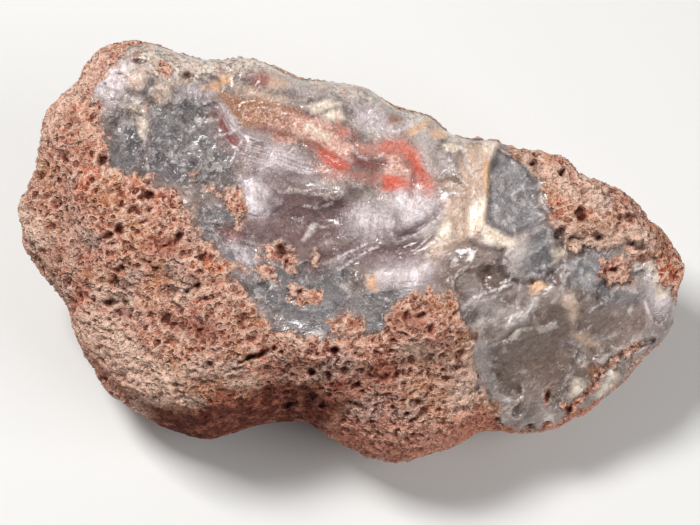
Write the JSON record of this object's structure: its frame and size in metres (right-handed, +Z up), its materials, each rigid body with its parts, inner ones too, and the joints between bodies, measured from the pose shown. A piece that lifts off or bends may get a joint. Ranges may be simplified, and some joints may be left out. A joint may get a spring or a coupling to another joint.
{
  "type": "rough agate half",
  "caption": "Rough half of an agate nodule lying on its rounded back, with a broken chalcedony face set in a pitted volcanic rind.",
  "frame": {"origin": "on the surface the stone rests on, under the middle of its bounding box", "axes": "+X along the stone's length, towards its thin end; +Y towards the upper edge of the broken face, which leans back towards it; +Z up"},
  "size_m": [0.1236, 0.0724, 0.0519],
  "materials": {
    "agate_in_rind": "glassy grey and mauve chalcedony with cream and red bands on the broken face, in a rough pitted brick-red volcanic rind"
  },
  "bodies": {
    "root": {"agate_half": "agate_in_rind"}
  },
  "joints": []
}
